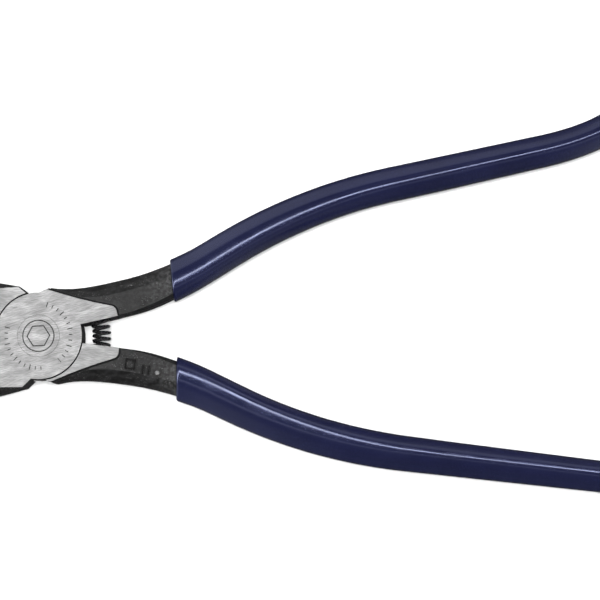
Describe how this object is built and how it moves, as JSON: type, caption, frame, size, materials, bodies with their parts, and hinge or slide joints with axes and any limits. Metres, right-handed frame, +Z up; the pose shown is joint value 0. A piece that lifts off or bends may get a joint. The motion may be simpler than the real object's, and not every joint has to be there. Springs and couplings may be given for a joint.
{
  "type": "ironworker's pliers",
  "caption": "Spring-opening side-cutting pliers with a knurled nose, flush rivet, dipped grips and one handle end hooked outward.",
  "frame": {"origin": "where the rivet's axis meets the ground face on the underside of the hub", "axes": "+Z up along the rivet's axis, +X along the bisector of the open handles towards their ends (the jaws point to -X), +Y towards the hooked handle"},
  "size_m": [0.225, 0.1214, 0.0126],
  "materials": {
    "half_steel": "ground bright faces, black oxide on the forged surfaces",
    "rivet_steel": "ground flush",
    "spring_wire": "black oil-tempered wire",
    "grip_vinyl": "glossy navy dipped vinyl"
  },
  "bodies": {
    "rear": {"rear_half": "half_steel", "rear_grip": "grip_vinyl", "pivot_rivet": "rivet_steel", "return_spring": "spring_wire"},
    "front": {"front_half": "half_steel", "front_grip": "grip_vinyl"}
  },
  "joints": [
    {"name": "pivot", "type": "hinge", "parent": "rear", "child": "front", "pos_m": [0, 0, 0.0063], "axis": [0, 0, 1], "range_deg": [-20.2, 11.8], "stiffness_Nm_per_rad": 1.5, "deforming": ["return_spring"]}
  ]
}
